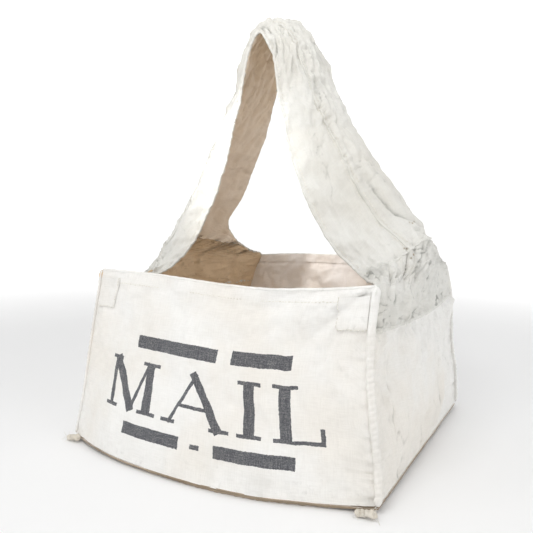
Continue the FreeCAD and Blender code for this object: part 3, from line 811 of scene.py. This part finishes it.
def whole_strap():
    """The loop from yoke seam to yoke seam as one settled and crumpled sheet, to be cut into its pieces."""
    columns, rows = 34, 250
    plain = strap(0, LAST_ROW, columns, rows)
    pins = np.maximum(edge_pins(columns, rows, left=0.5, right=0.5), 0.10)
    settled = settle(plain, pins, 0.013, frames=14, cap=0.0032, bending=1.2, seed=31)
    cells_across, cells_along = 84, 680
    sheet = finer(settled, cells_across, cells_along)
    row = np.linspace(0, LAST_ROW, cells_along)[:, None] * np.ones((1, cells_across))
    from_seam = np.minimum(row, LAST_ROW - row)                  # rows from the nearer yoke seam
    breadth, travel = lengths(sheet)
    total = breadth[:, -1:]
    share = breadth / np.maximum(total, 1e-6)
    from_edge = np.minimum(breadth, total - breadth)
    outward = normals(sheet)
    yoke = smoothstep(YOKE_TOP + 0.2, YOKE_TOP - 0.2, from_seam)
    crown = smoothstep(7.0, 10.8, from_seam)
    limb = 1 - np.maximum(yoke, crown)
    above_join = np.exp(-np.maximum(from_seam - YOKE_TOP, 0) / 0.55) * (1 - yoke)
    below_join = np.exp(-np.abs(from_seam - YOKE_TOP) / 1.3) * yoke
    above_foot = np.exp(-from_seam / 0.8) * yoke
    gathers = ripple(breadth / 0.0078, travel / 0.075, 41) + 0.55 * ripple(breadth / 0.0045, travel / 0.035, 42)
    move = 0.0058 * gathers * (0.8 * above_join + 1.0 * below_join + 0.8 * above_foot)
    move += (0.0022 * yoke + 0.0018 * limb + 0.0018 * crown) * 1.3 * field(breadth / 0.032, travel / 0.055, 43, 2)
    move += (0.0018 * yoke + 0.0008 * limb + 0.0018 * crown) * field(breadth / 0.0085, travel / 0.014, 53, 2)
    first = crease(breadth / 0.018, travel / 0.060, 44, 4.6)
    second = crease(breadth / 0.050, travel / 0.020, 54, 5.0)
    move -= (0.0020 * yoke + 0.0011 * limb + 0.0020 * crown) * first
    move -= (0.0017 * yoke + 0.0010 * limb + 0.0016 * crown) * second
    # lines: how deep each point lies in a crease, gather or fold, painted as shade by the canvas
    lines = (0.6 + 0.4 * (yoke + crown)) * (0.8 * first + 0.7 * second)
    lines += 0.9 * smoothstep(0.2, 1.1, -gathers) * (0.7 * above_join + below_join + 0.6 * above_foot)
    folds = ripple(breadth / 0.0075 + 0.8 * ripple(travel / 0.05, breadth / 0.06, 45), travel / 0.045, 46)
    folds += 0.6 * ripple(breadth / 0.0048 + travel / 0.030, travel / 0.018, 47)
    move += (0.0040 * crown + 0.0012 * limb) * folds
    across_folds = ripple(travel / 0.0075 + 0.7 * ripple(breadth / 0.04, travel / 0.05, 55), breadth / 0.030, 56)
    lines += 0.5 * crown * smoothstep(0.4, 1.2, -folds)
    move += 0.0034 * crown * across_folds * smoothstep(-0.2, 0.5, ripple(travel / 0.06, breadth / 0.05, 57))
    # small pulls beside the lengthwise seam
    seam = seam_share(from_seam)
    beside = np.exp(-np.abs(share - seam) * total / 0.007) * smoothstep(YOKE_TOP - 0.1, YOKE_TOP + 0.3, from_seam)
    pulls = ripple(travel / 0.0055, share * 9, 58)
    move += 0.0034 * beside * pulls
    lines += 0.6 * beside * smoothstep(0.1, 0.9, -pulls)
    # a long sunken fold behind the front knee of the right limb, with a softer one on the left
    for limb_part, deep in ((smoothstep(14.0, 12.0, row), 0.0062), (smoothstep(12.0, 14.0, row), 0.0030)):
        line = seam + 0.055 + 0.05 * smoothstep(6.0, 4.0, from_seam)
        reach = smoothstep(3.5, 4.1, from_seam) * smoothstep(7.6, 5.6, from_seam)
        sunk = limb_part * reach * np.exp(-((share - line) / 0.028) ** 2)
        move -= deep * sunk
        lines += 110 * deep * sunk ** 3
        move += 0.45 * deep * limb_part * reach * np.exp(-((share - line - 0.07) / 0.05) ** 2)
    move *= np.minimum(1, 0.25 + from_edge / 0.008)
    move *= np.minimum(1, 0.15 + from_seam / 0.30)
    sheet = sheet + outward * move[..., None]
    # free edges wander a little
    wave = 0.0012 * ripple(travel / 0.024, 0.2 + 0 * travel, 51) * smoothstep(2.2, 3.2, from_seam)
    lean = np.exp(-from_edge / 0.012) * wave
    sheet = sheet + np.gradient(sheet, axis=1) / np.maximum(
        np.linalg.norm(np.gradient(sheet, axis=1), axis=2, keepdims=True), 1e-9) * lean[..., None]
    grime = 0.40 * yoke + 0.10 * limb + 0.50 * crown + 0.35 * (above_join + below_join)
    grime += (0.40 * smoothstep(-0.1, 0.8, ripple(travel / 0.10, breadth / 0.06, 52))
              + 0.15 * edge_fade(from_edge, 0.005))
    return sheet, marks(grime, lines)


def rows_of(sheet, start, end):
    """The part of the loop sheet between two rows."""
    last = sheet.shape[0] - 1
    first, final = int(round(start / LAST_ROW * last)), int(round(end / LAST_ROW * last))
    return sheet[first:final + 1]


def base_sheet(columns, rows):
    """The floor of the bag, curving up to its seams."""
    u, v = grid(columns, rows)
    front, back = smooth(FRONT_FOOT, u[0]), smooth(BACK_FOOT, u[0])
    across = v[..., None]
    sheet = front[None] * (1 - across) + back[None] * across
    inset = np.minimum(np.minimum(u, 1 - u) * 0.42, np.minimum(v, 1 - v) * 0.42)
    level = 0.0022 + 0.0024 * np.exp(-inset / 0.012)
    sheet[..., 2] = level + 0.0006 * field(u / 0.12, v / 0.12, 61)
    sheet[..., 2] = np.maximum(sheet[..., 2], 0.0018)
    return sheet


# ---- materials in use ------------------------------------------------------------------------------------

PRINT_CENTRE = (-0.010, -0.018)    # from the middle of the front wall's flat cloth
CREAM, IVORY, GREY = colour(240, 239, 236), colour(236, 232, 225), colour(166, 165, 158)
# PINKISH: the inner face of the canvas, paler than its outer face as painted light inside the bag.
PINKISH = colour(249, 244, 240)

front_sheet, front_marks = long_wall("front", 0.006, 11, 0.0010)
back_sheet, back_marks = long_wall("back", 0.010, 12, 0.0014)
left_sheet, left_marks = end_wall("left", 0.014, 13)
right_sheet, right_marks = end_wall("right", 0.014, 14)
loop_sheet, loop_marks = whole_strap()
LOOP_OUTWARD = normals(loop_sheet)
LONG_WALLS = (("front", front_sheet, 1), ("back", back_sheet, -1))

CANVAS = canvas("canvas", CREAM, IVORY, GREY)
PRINTED = canvas("printed_canvas", CREAM, IVORY, GREY, 0.85, printed)
STRAP_CANVAS = canvas("strap_canvas", colour(225, 224, 219), colour(217, 214, 206), colour(136, 136, 130), 1.0)
LINING = canvas("lining", colour(247, 233, 216), colour(240, 223, 200), colour(170, 142, 114), 0.6)
# Inner face of the front, back, floor and hems: painted light, paler than the outer canvas.
INSIDE_PAINTED_LIGHT = canvas("inside_canvas_painted_light", PINKISH, colour(236, 226, 215), colour(190, 170, 150), 0.5)
# Inner face of the end walls and yokes: a tan, darker copy of the inner canvas, painted shade inside the bag.
TAN_INSIDE_PAINTED_SHADE = canvas("tan_canvas_painted_shade", colour(228, 204, 172), colour(220, 194, 160), colour(160, 134, 106), 0.6)
# The underside of the floor: brown of grime, darkened further as painted shade for the strip that shows under the
# front seam.
BASE_DIRT_AND_SHADE_CANVAS = canvas("base_canvas", colour(172, 156, 136), colour(148, 130, 110), colour(104, 90, 76), 1.0)
FRAYED = canvas("frayed_canvas", colour(234, 230, 222), colour(218, 208, 190), colour(134, 118, 100), 1.0)
# The dark brown of the worn holes: painted shadow inside each hole.
HOLE_SHADOW = thread_material("worn_hole_shadow", colour(176, 164, 146), colour(142, 128, 110))
THREAD = thread_material("thread", colour(238, 235, 227), colour(214, 209, 197))


def two_faced(piece, inner_material):
    """Gives the inner layer of a closed sheet a second material; its rim keeps the first."""
    piece.data.materials.append(inner_material)
    count = len(piece.data.polygons)
    per_side = (count - piece["rim"]) // 2
    index = np.zeros(count, np.int32)
    index[per_side:2 * per_side] = 1
    piece.data.polygons.foreach_set("material_index", index)


def sheet_piece(name, surface, marked, material, inner, side, body, nodes, offset=0.0,
                bend=None):
    """A sheet of cloth on its body, in place of the CAD nodes it stands for."""
    piece = cloth(name, surface, marked, material, side, offset=offset)
    rows, columns = surface.shape[:2]
    piece["rim"] = 2 * (rows + columns) - 4
    if inner is not None:
        two_faced(piece, inner)
    trim(piece, body, nodes, bend)
    return piece


def settle_on(piece, body, bend=None):
    """Rides on a body; a piece across the swing or the fold of the strap instead keeps its place in the world, on no
    body.
    """
    if bend == "swing":
        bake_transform(piece)
    elif bend == "fold":
        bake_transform(piece)
    else:
        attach(piece, body)


def trim(piece, body, nodes=(), bend=None):
    """Puts a piece on its body, or in place for the swing or fold, and hides the CAD nodes it replaces."""
    settle_on(piece, body, bend)
    if nodes:
        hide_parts(*nodes)
    return piece


def fringe(name, roots, directions, material, length=0.009, radius=0.00022, seed=1):
    """Loose yarn ends: a thin curling thread from each root."""
    rng = np.random.default_rng(seed)
    parts = []
    for root, direction in zip(roots, directions):
        heading = direction / np.linalg.norm(direction) + rng.normal(0, 0.35, 3)
        heading /= np.linalg.norm(heading)
        curl = rng.normal(0, 1.0, 3)
        reach = length * rng.uniform(0.4, 1.2)
        rings, faces, point = [], [], np.array(root, float)
        steps = 6
        for k in range(steps):
            side = np.cross(heading, (0.3, 0.5, 0.8))
            side /= np.linalg.norm(side)
            other = np.cross(heading, side)
            size = radius * (1 - 0.6 * k / steps)
            rings += [point + (side * math.cos(a) + other * math.sin(a)) * size for a in (0, 2.1, 4.2)]
            point = point + heading * reach / steps
            point[2] = max(point[2], 0.0008)
            heading = heading + curl * 0.16 + np.array((0, 0, -0.05))
            heading /= np.linalg.norm(heading)
        faces = [[r * 3 + k, r * 3 + (k + 1) % 3, (r + 1) * 3 + (k + 1) % 3, (r + 1) * 3 + k]
                 for r in range(steps - 1) for k in range(3)]
        faces += [[2, 1, 0], [3 * steps - 3, 3 * steps - 2, 3 * steps - 1]]
        parts.append((np.array(rings), faces))
    return join_parts(name, parts, material)


# ---- panels ----------------------------------------------------------------------------------------------

sheet_piece("front_cloth", front_sheet, front_marks, PRINTED, INSIDE_PAINTED_LIGHT, 1, "bag", ["front_panel"])
sheet_piece("back_cloth", back_sheet, back_marks, CANVAS, INSIDE_PAINTED_LIGHT, -1, "bag", ["back_panel"])
for side, sheet, marked in (("left", left_sheet, left_marks), ("right", right_sheet, right_marks)):
    sheet_piece(side + "_gusset_cloth", sheet, marked, CANVAS, TAN_INSIDE_PAINTED_SHADE, SIGN[side], "bag",
                [side + "_gusset"])
floor_sheet = base_sheet(110, 110)
sheet_piece("base_cloth", floor_sheet, marks(0.8, np.zeros(floor_sheet.shape[:2])), BASE_DIRT_AND_SHADE_CANVAS, INSIDE_PAINTED_LIGHT, -1, "bag",
            ["base_panel"])

# ---- yokes and strap -------------------------------------------------------------------------------------

edges = {"right": lambda row: row, "left": lambda row: LAST_ROW - row}


def limb_rows(side, low, high):
    """A limb's part of the loop sheet and its marks, from a low row to a high one."""
    ends = sorted((edges[side](low), edges[side](high)))
    return rows_of(loop_sheet, *ends), rows_of(loop_marks, *ends)


for side in ("right", "left"):
    sheet, marked = limb_rows(side, 0, YOKE_TOP)
    sheet_piece(side + "_yoke_cloth", sheet, marked * (1.1, 1.4), STRAP_CANVAS, TAN_INSIDE_PAINTED_SHADE, 1, "bag",
                [side + "_yoke"],
                bend="swing")
    sheet, marked = limb_rows(side, YOKE_TOP, SPLIT_ROW)
    sheet_piece(side + "_strap_cloth", sheet, marked, STRAP_CANVAS, None, 1, "strap_lower", [side + "_strap_band"],
                offset=0.0003, bend="swing")
    sheet_piece(side + "_strap_lining_cloth", sheet, marked * (0.4, 1.0), LINING, None, 1, "strap_lower",
                [side + "_strap_lining"], offset=-PLY - LAYER_GAP, bend="swing")
sheet = rows_of(loop_sheet, SPLIT_ROW, LAST_ROW - SPLIT_ROW)
marked = rows_of(loop_marks, SPLIT_ROW, LAST_ROW - SPLIT_ROW)
sheet_piece("crown_cloth", sheet, marked, STRAP_CANVAS, None, 1, "strap_upper", ["crown_band"],
            offset=0.0003, bend="fold")
sheet_piece("crown_lining_cloth", sheet, marked * (0.4, 1.0), LINING, None, 1, "strap_upper", ["crown_lining"],
            offset=-PLY - LAYER_GAP, bend="fold")

# ---- seams and folded edges ------------------------------------------------------------------------------


def with_grime(piece, value):
    layer = piece.data.attributes.new("grime", "FLOAT", "POINT")
    layer.data.foreach_set("value", np.full(len(piece.data.vertices), value, np.float32))
    return piece


CORNER_SEAMS = {
    # width, height and how much each is puckered
    ("front", "right"): (0.0092, 0.0062, 0.50),
    ("front", "left"): (0.0042, 0.0040, 0.35),
    ("back", "right"): (0.0080, 0.0060, 0.60),
    ("back", "left"): (0.0060, 0.0046, 0.40),
}
for (end, side), (width, height, pucker) in CORNER_SEAMS.items():
    sheet = front_sheet if end == "front" else back_sheet
    path = spaced(sheet[:, -1 if side == "right" else 0], WELT_STEP)
    facing = np.array((SIGN[side], -1.0 if end == "front" else 1.0, 0.0)) / math.sqrt(2)
    path = path + facing * 0.0008
    uneven = 0.55 + 0.45 * ripple(path[:, 2] / 0.024, path[:, 2] * 0, 27)
    pinched = pucker * uneven * smoothstep(0.195, 0.150, path[:, 2]) + 0.10
    piece = roll(f"{end}_{side}_corner_welt", path, facing, width, height, CANVAS, pinched, 0.0066,
                 seed=3 + width * 900)
    trim(with_grime(piece, 0.4), "bag", [f"{end}_{side}_corner_seam"])

# Only the front welt takes the floor's dark brown: painted shade under the front seam, as well as grime.
BASE_EDGES = {"front": (front_sheet[0], (0, -1, -0.35)), "back": (back_sheet[0], (0, 1, -0.35)),
              "left": (left_sheet[0], (-1, 0, -0.35)), "right": (right_sheet[0], (1, 0, -0.35))}
for end, (edge, facing) in BASE_EDGES.items():
    path = spaced(edge, WELT_STEP) - np.array((facing[0], facing[1], 0)) * 0.0030 - np.array((0, 0, 0.0034))
    piece = roll(f"{end}_base_welt", path, np.array(facing, float), 0.0040, 0.0036,
                 BASE_DIRT_AND_SHADE_CANVAS if end == "front" else CANVAS, 0.35, 0.0080, seed=len(end) + 5)
    trim(with_grime(piece, 0.9), "bag", [f"{end}_base_seam"])

for side in ("right", "left"):
    foot = loop_sheet[0] if side == "right" else loop_sheet[-1]
    path = spaced(foot, WELT_STEP)
    piece = roll(f"{side}_yoke_welt", path, np.array((SIGN[side], 0, 0.2)), 0.0046, 0.0034, STRAP_CANVAS, 0.35,
                 0.0100, seed=21)
    trim(with_grime(piece, 0.6), "bag")
    last = loop_sheet.shape[0] - 1
    row = int(round(edges[side](YOKE_TOP) / LAST_ROW * last))
    path = loop_sheet[row] + LOOP_OUTWARD[row] * 0.0004
    piece = roll(f"{side}_gather_welt", spaced(path, WELT_STEP), LOOP_OUTWARD[row].mean(0), 0.0044, 0.0030,
                 STRAP_CANVAS, 0.40, 0.0090, seed=23)
    trim(with_grime(piece, 0.7), "bag", bend="swing")


def loop_line(share, start, end, aside=0.0):
    """A line along the strap at a share of its breadth, or beside its seam, with the cloth's outward directions."""
    rows = np.linspace(start, end, int(abs(end - start) * 60) + 2)
    if share is None:
        shares = seam_share(np.minimum(rows, LAST_ROW - rows)) + aside
    else:
        shares = np.full(len(rows), share)
    return on_sheet(loop_sheet, shares, rows / LAST_ROW), on_sheet(LOOP_OUTWARD, shares, rows / LAST_ROW)


LOOP_PARTS = {
    "right": (2.0, SPLIT_ROW, "strap_lower", "swing"),
    "crown": (SPLIT_ROW, LAST_ROW - SPLIT_ROW, "strap_upper", "fold"),
    "left": (LAST_ROW - SPLIT_ROW, LAST_ROW - 2.0, "strap_lower", "swing"),
}
for part, (start, end, body, bend) in LOOP_PARTS.items():
    for share, edge in ((0.0, "front"), (1.0, "back")):
        path, outward = loop_line(share, start, end)
        path = path - outward * 0.0009
        piece = roll(f"{part}_{edge}_fold", path, outward, 0.0036, 0.0042, STRAP_CANVAS, 0.18, 0.0110,
                     seed=31 + share, sides=10)
        trim(with_grime(piece, 0.45), body, bend=bend)
    low = max(start, YOKE_TOP) if part == "right" else start
    high = min(end, LAST_ROW - YOKE_TOP) if part == "left" else end
    path, outward = loop_line(None, low, high)
    path = path + outward * 0.0007
    piece = roll(f"{part}_strap_welt", path, outward, 0.0030, 0.0020, STRAP_CANVAS, 0.30, 0.0080, seed=37, sides=8)
    node = "crown_seam" if part == "crown" else part + "_strap_seam"
    trim(with_grime(piece, 0.55), body, [node], bend)
    path, outward = loop_line(None, low, high)
    path = path - outward * (2 * PLY + LAYER_GAP + 0.0002)
    piece = roll(f"{part}_lining_welt", path, -outward, 0.0034, 0.0014, LINING, 0.35, 0.0080, seed=39, sides=8)
    trim(with_grime(piece, 0.8), body, bend=bend)
    for number, (share, aside, seed) in enumerate(((None, -0.022, 3), (None, 0.022, 4), (0.028, 0, 5), (0.972, 0, 6))):
        path, outward = loop_line(share, low, high, aside)
        piece = stitching(f"{part}_strap_stitching_{number + 1}", path + outward * 0.0004, outward, THREAD,
                          worn=0.3, seed=seed)
        trim(piece, body, bend=bend)

# ---- hems ------------------------------------------------------------------------------------------------

for end, sheet, sign in LONG_WALLS:
    path = spaced(sheet[-1], 0.0016)
    outward = normals(sheet)[-1].mean(0) * sign
    piece = roll(f"{end}_lip_fold", path - outward * 0.0009, outward, 0.0034, 0.0034, CANVAS, 0.10, 0.012,
                 seed=41, sides=10)
    trim(with_grime(piece, 0.35), "bag")
    upward = lengths(sheet)[1]
    height = upward.max()
    u, v = np.meshgrid(np.linspace(0.012, 0.988, 150), np.linspace(1 - 0.0175 / height, 0.998, 9))
    strip = on_sheet(sheet, u, v)
    sheet_piece(f"{end}_hem_cloth", strip, marks(0.25, np.zeros(u.shape)), CANVAS, INSIDE_PAINTED_LIGHT, sign, "bag",
                [f"{end}_hem"],
                offset=-PLY - LAYER_GAP)
    u = np.linspace(0.015, 0.985, 300)
    path = on_sheet(sheet, u, np.full(300, 1 - 0.0150 / height))
    piece = stitching(f"{end}_hem_row", path + outward * 0.0001, outward, THREAD, worn=0.30, seed=51)
    trim(piece, "bag", [f"{end}_hem_stitching"])

# ---- laps of the yokes sewn onto the walls ---------------------------------------------------------------

LAP_SPANS = {"front": {"left": (0.010, 0.083), "right": (0.862, 0.990)},
             "back": {"left": (0.010, 0.148), "right": (0.878, 0.990)}}
for end, sheet, sign in LONG_WALLS:
    outward = normals(sheet) * sign
    for side, (low, high) in LAP_SPANS[end].items():
        u, v = np.meshgrid(np.linspace(low, high, 18), np.linspace(0.795, 0.968, 19))
        patch = on_sheet(sheet, u, v) + on_sheet(outward, u, v) * (
            0.0013 + 0.0007 * np.maximum(0, field(u * 40, v * 30, 71)))[..., None]
        creased = marks(0.35, 0.6 * crease(u * 30, v * 20, 72, 4.0))
        sheet_piece(f"{end}_{side}_lap_cloth", softened(patch, 4), creased, CANVAS, None, sign, "bag",
                    [f"{end}_{side}_lap"],
                    offset=0.0004)
        inner = low + 0.008 if side == "right" else high - 0.006
        line_u = np.concatenate([np.full(30, inner), np.linspace(inner, high if side == "right" else low, 30)[1:]])
        line_v = np.concatenate([np.linspace(0.965, 0.806, 30), np.full(29, 0.806)])
        path = on_sheet(sheet, line_u, line_v) + on_sheet(outward, line_u, line_v) * 0.0019
        piece = stitching(f"{end}_{side}_lap_row", path, on_sheet(outward, line_u, line_v), THREAD, worn=0.1,
                          seed=61)
        trim(piece, "bag")

# ---- small worn spots where the right yoke is sewn to the strap, painted dark brown as the shadow inside a hole, with broken yarns across them ---


RIM = 14                           # points round a worn spot


def worn_spots_painted_shadow(name, places, body, bend):
    """Ragged dimpled discs on the outer layer, which do not go through it, painted dark brown as the shadow inside a
    worn hole, with loose yarns. Places are given as rows, shares of the breadth and sizes in metres."""
    rng = np.random.default_rng(91)
    parts, roots, ways = [], [], []
    for row, share, size in places:
        where = np.array([share]), np.array([row / LAST_ROW])
        centre, outward = on_sheet(loop_sheet, *where)[0], on_sheet(LOOP_OUTWARD, *where)[0]
        outward = outward / np.linalg.norm(outward)
        along = np.cross(outward, (0, 0, 1.0))
        along /= np.linalg.norm(along)
        up = np.cross(along, outward)
        angles = np.linspace(0, 2 * np.pi, RIM + 1)[:-1]
        reach = size * (0.7 + 0.5 * rng.random(RIM)) * (1 + 0.35 * np.cos(angles + rng.random() * 6))
        rim = (centre + outward * 0.0009 + along * (np.cos(angles) * reach)[:, None]
               + up * (np.sin(angles) * reach)[:, None])
        low = rim - outward * 0.0016
        vertices = np.concatenate([rim, low, [centre + outward * 0.00075]])
        faces = [[2 * RIM, k, (k + 1) % RIM] for k in range(RIM)]
        faces += [[k, k + RIM, (k + 1) % RIM + RIM, (k + 1) % RIM] for k in range(RIM)]
        parts.append((vertices, faces))
        for k in range(0, RIM, 2):
            roots.append(rim[k] + outward * 0.0002)
            ways.append((centre - rim[k]) / size + outward * 0.5)
    piece = join_parts(name, parts, HOLE_SHADOW)
    trim(piece, body, bend=bend)
    piece = fringe(name + "_yarns", roots, ways, THREAD, 0.0036, 0.00022, seed=92)
    trim(piece, body, bend=bend)


worn_spots_painted_shadow("yoke_holes", ((3.12, 0.44, 0.0010), (3.20, 0.47, 0.0014), (3.28, 0.66, 0.0011)), "bag", "swing")
worn_spots_painted_shadow("strap_holes", ((3.66, 0.42, 0.0011), (3.60, 0.45, 0.0015), (4.28, 0.60, 0.0012),
                           (4.34, 0.63, 0.0015), (4.37, 0.58, 0.0009)), "strap_lower", "swing")

# ---- frayed tails at the front corners of the base -------------------------------------------------------

for side in ("left", "right"):
    low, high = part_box(side + "_seam_tail")
    middle, half = (np.array(low) + np.array(high)) / 2, (np.array(high) - np.array(low)) / 2
    axis = np.argmax(half)
    share = np.linspace(-1, 1, 22)
    path = np.repeat(middle[None], 22, axis=0)
    path[:, axis] += share * half[axis] * 0.96
    if side == "left":                                       # in front of the fuller corner
        path += (0.004, -0.026, 0.0)
    path[:, 2] += 0.0012 * np.sin(share * 3.0)
    path[:, 1 - axis if axis < 2 else 0] += 0.0012 * np.cos(share * 2.2)
    width = 2 * np.delete(half, axis).min() * 0.92
    piece = roll(side + "_tail_roll", path, np.array((0, -0.4, 1.0)), width, width * 0.9, FRAYED, 0.5, 0.0060,
                 seed=81)
    trim(with_grime(piece, 0.9), "bag", [side + "_seam_tail"])
    rng = np.random.default_rng(82 if side == "left" else 83)
    ends = path[rng.integers(0, 22, 46)] + rng.normal(0, 0.0015, (46, 3))
    ways = rng.normal(0, 0.5, (46, 3)) + np.array((SIGN[side] * 0.3, -0.4, 0.0))
    piece = fringe(side + "_tail_fringe", ends, ways, THREAD, 0.010, 0.0003, seed=84)
    trim(with_grime(piece, 0.8), "bag")

# ---- room, light and camera ------------------------------------------------------------------------------


def studio():
    """A pale floor whose far edge curves up into a wall all round."""
    profile = [(0.0, 0.0), (1.2, 0.0), (2.2, 0.0)]
    profile += [(2.2 + 1.6 * math.sin(t), 1.6 * (1 - math.cos(t))) for t in np.linspace(0.1, math.pi / 2, 12)]
    profile += [(3.8, 2.6)]
    count = 72
    vertices = [(r * math.cos(2 * math.pi * k / count), r * math.sin(2 * math.pi * k / count), z)
                for r, z in profile for k in range(count)]
    faces = [(r * count + k, r * count + (k + 1) % count, (r + 1) * count + (k + 1) % count, (r + 1) * count + k)
             for r in range(len(profile) - 1) for k in range(count)]
    mesh = bpy.data.meshes.new("studio_floor")
    mesh.from_pydata(vertices, [], faces)
    mesh.polygons.foreach_set("use_smooth", [True] * len(mesh.polygons))
    floor = bpy.data.objects.new("studio_floor", mesh)
    bpy.context.scene.collection.objects.link(floor)
    s = Shade("studio_floor")
    place = s.node("ShaderNodeTexCoord").outputs["Object"]
    s.link(s.mix(s.noise(place, 1.5), colour(246, 246, 246), colour(250, 250, 250)), s.shader.inputs["Base Color"])
    s.shader.inputs["Roughness"].default_value = 0.9
    s.shader.inputs["Specular IOR Level"].default_value = 0.1
    away = s.node("ShaderNodeVectorMath", operation="LENGTH")
    s.link(place, away.inputs[0])
    # Painted light: the floor and wall glow, from a hundredth of full strength within 0.7 m of the middle to a third
    # beyond 2.3 m, whitening the backdrop and lighting the bag from the sides.
    s.shader.inputs["Emission Color"].default_value = (1, 1, 1, 1)
    s.link(s.ramp(away.outputs["Value"], 0.7, 2.3, 0.01, 0.33), s.shader.inputs["Emission Strength"])
    mesh.materials.append(s.material)


def softbox(name, place, target, size, power):
    light = bpy.data.lights.new(name, "AREA")
    light.shape, light.size, light.energy = "SQUARE", size, power
    lamp = bpy.data.objects.new(name, light)
    lamp.location = place
    lamp.rotation_euler = (Vector(target) - Vector(place)).to_track_quat("-Z", "Y").to_euler()
    bpy.context.scene.collection.objects.link(lamp)


studio()
softbox("key", (-1.2, -1.5, 1.6), (0, 0, 0.2), 0.6, 1.7)
softbox("front", (0.35, -1.15, 1.25), (0, 0.1, 0.2), 0.4, 0.5)
softbox("mouth", (0.10, -0.62, 0.85), (0, 0.15, 0.2), 0.25, 1.9)
spot = bpy.data.lights.new("inside", "SPOT")   # through the loop, onto the back wall's inner face
spot.energy, spot.spot_size, spot.spot_blend, spot.shadow_soft_size = 26.0, math.radians(14), 0.6, 0.03
inside = bpy.data.objects.new("inside", spot)
inside.location = (0.0, -0.75, 0.90)
inside.rotation_euler = (Vector((-0.05, 0.20, 0.13)) - inside.location).to_track_quat("-Z", "Y").to_euler()
bpy.context.scene.collection.objects.link(inside)
softbox("fill", (1.9, -0.4, 1.2), (0, 0, 0.2), 0.9, 3.2)
softbox("top", (-0.3, 0.1, 2.3), (0, 0, 0.2), 1.0, 1.6)
softbox("back", (0.4, 2.0, 1.4), (0, 0, 0.3), 1.4, 2.2)
world = bpy.data.worlds.new("studio")
world.use_nodes = True
world.node_tree.nodes["Background"].inputs["Color"].default_value = (1, 1, 1, 1)
world.node_tree.nodes["Background"].inputs["Strength"].default_value = 0.55
bpy.context.scene.world = world
bpy.context.scene.view_settings.view_transform = "Standard"

camera_data = bpy.data.cameras.new("camera")
camera_data.sensor_width = 36
camera_data.lens = 35.6
camera_data.clip_start = 0.02
camera = bpy.data.objects.new("camera", camera_data)
camera.location = (0.3715, -0.6819, 0.2897)
yaw, pitch, tilt = (math.radians(a) for a in (30.83, 4.57, 0.40))
turn = Euler((math.radians(90) - pitch, 0, yaw), "XYZ").to_matrix()
camera.rotation_euler = (turn @ Euler((0, 0, tilt), "XYZ").to_matrix()).to_euler()
bpy.context.scene.collection.objects.link(camera)
bpy.context.scene.camera = camera
